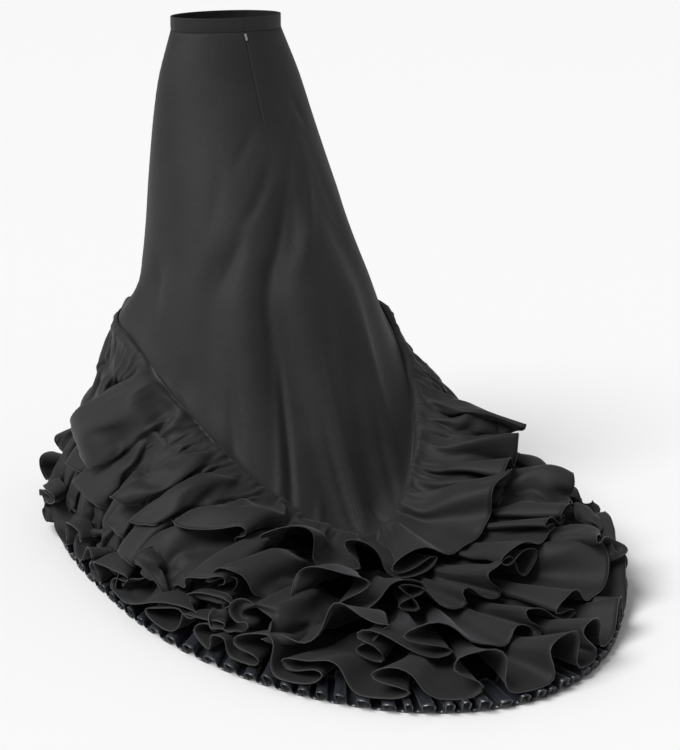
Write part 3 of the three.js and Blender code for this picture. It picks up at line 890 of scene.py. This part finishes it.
def zipTape():
    cut = tapeCut
    levels = np.linspace(cut["startLevel"], cut["endLevel"], cut["rows"])
    offsets = np.linspace(-cut["half"], cut["half"], cut["columns"])
    turns = offsets / turnReach(levels, 0)[:, None]
    place = levels[:, None] + 0 * turns
    out = outward(place, turns)
    points = cone(place, turns) - out * (foldDepth(place, turns) + cut["inset"])[..., None]
    fall = runningLength(points)
    uv = np.stack([np.broadcast_to(offsets, turns.shape), fall], axis=-1)
    tape = gridMesh("zipTape", points, material=wovenTape, uv=uv)
    applied(tape, "SOLIDIFY", thickness=cut["wall"], offset=-1)
    wear(tape, ["zip_tape"])
    # the coil, tooth by tooth down the tape
    middle = cut["columns"] // 2
    long, across, places = fall[-1, middle], np.array((1.0, 0.0, 0.0)), []
    for step in range(cut["firstTooth"], int(long / cut["toothPitch"])):
        at = step * cut["toothPitch"]
        centre = np.array([np.interp(at, fall[:, middle], points[:, middle, k]) for k in range(3)])
        away = unit(np.array([np.interp(at, fall[:, middle], out[:, middle, k]) for k in range(3)]))
        side = across * (cut["toothSide"] if step % 2 else -cut["toothSide"])
        centre = centre + side - away * (cut["wall"] + cut["toothThick"] / 2)
        places.append((centre, (np.cross(away, across), away, across)))
    tooth = rounded(8, cut["toothThick"] / 2, cut["toothHalf"] * 2, cut["toothEdge"])
    coil = wear(rowOf("zipCoil", tooth, places, wovenTape))
    return tape, coil, (cut["half"] * 2, long)


tape, coil, tapeFlat = zipTape()
for name in ("zip_slider", "pull_tab", "waist_hook"):
    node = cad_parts[name]
    node.data.materials.clear()
    node.data.materials.append(nickel)
print("zip fitted, tape", np.round(tapeFlat, 3))

# Floor, light and camera

stageSet = {"floor": 70, "sky": 0.34, "sunStrength": 2.9, "sunSoft": 34, "sunFrom": (1.0, 0.12, 1.25)}
bpy.ops.object.select_all(action="DESELECT")
bpy.ops.mesh.primitive_plane_add(size=stageSet["floor"], location=(0, 0.5, floorHigh))
floor = bpy.context.object
floor.name = "studioFloor"
paper = Finish("paper", Base_Color=(0.92, 0.92, 0.92, 1), Roughness=0.85)
floor.data.materials.append(paper.material)

world = bpy.data.worlds.new("studio")
bpy.context.scene.world = world
world.use_nodes = True
world.node_tree.nodes["Background"].inputs["Color"].default_value = (1, 1, 1, 1)
world.node_tree.nodes["Background"].inputs["Strength"].default_value = stageSet["sky"]

sun = bpy.data.lights.new("softSun", "SUN")
sun.energy, sun.angle = stageSet["sunStrength"], math.radians(stageSet["sunSoft"])
holder = bpy.data.objects.new("softSun", sun)
bpy.context.scene.collection.objects.link(holder)
holder.location = stageSet["sunFrom"]
holder.rotation_euler = Vector(stageSet["sunFrom"]).to_track_quat("Z", "Y").to_euler()

cameraSet = {"place": (1.784, 3.589, 0.42), "azimuth": 150, "pitch": 16.9, "lens": 86.4}
lens = bpy.data.cameras.new("camera")
lens.lens, lens.sensor_width = cameraSet["lens"], 36
camera = bpy.data.objects.new("camera", lens)
bpy.context.scene.collection.objects.link(camera)
camera.location = cameraSet["place"]
pitch, azimuth = math.radians(cameraSet["pitch"]), math.radians(cameraSet["azimuth"])
look = Vector((-math.sin(azimuth) * math.cos(pitch), math.cos(azimuth) * math.cos(pitch), -math.sin(pitch)))
camera.rotation_euler = look.to_track_quat("-Z", "Y").to_euler()
bpy.context.scene.camera = camera
bpy.context.scene.view_settings.view_transform = "Standard"
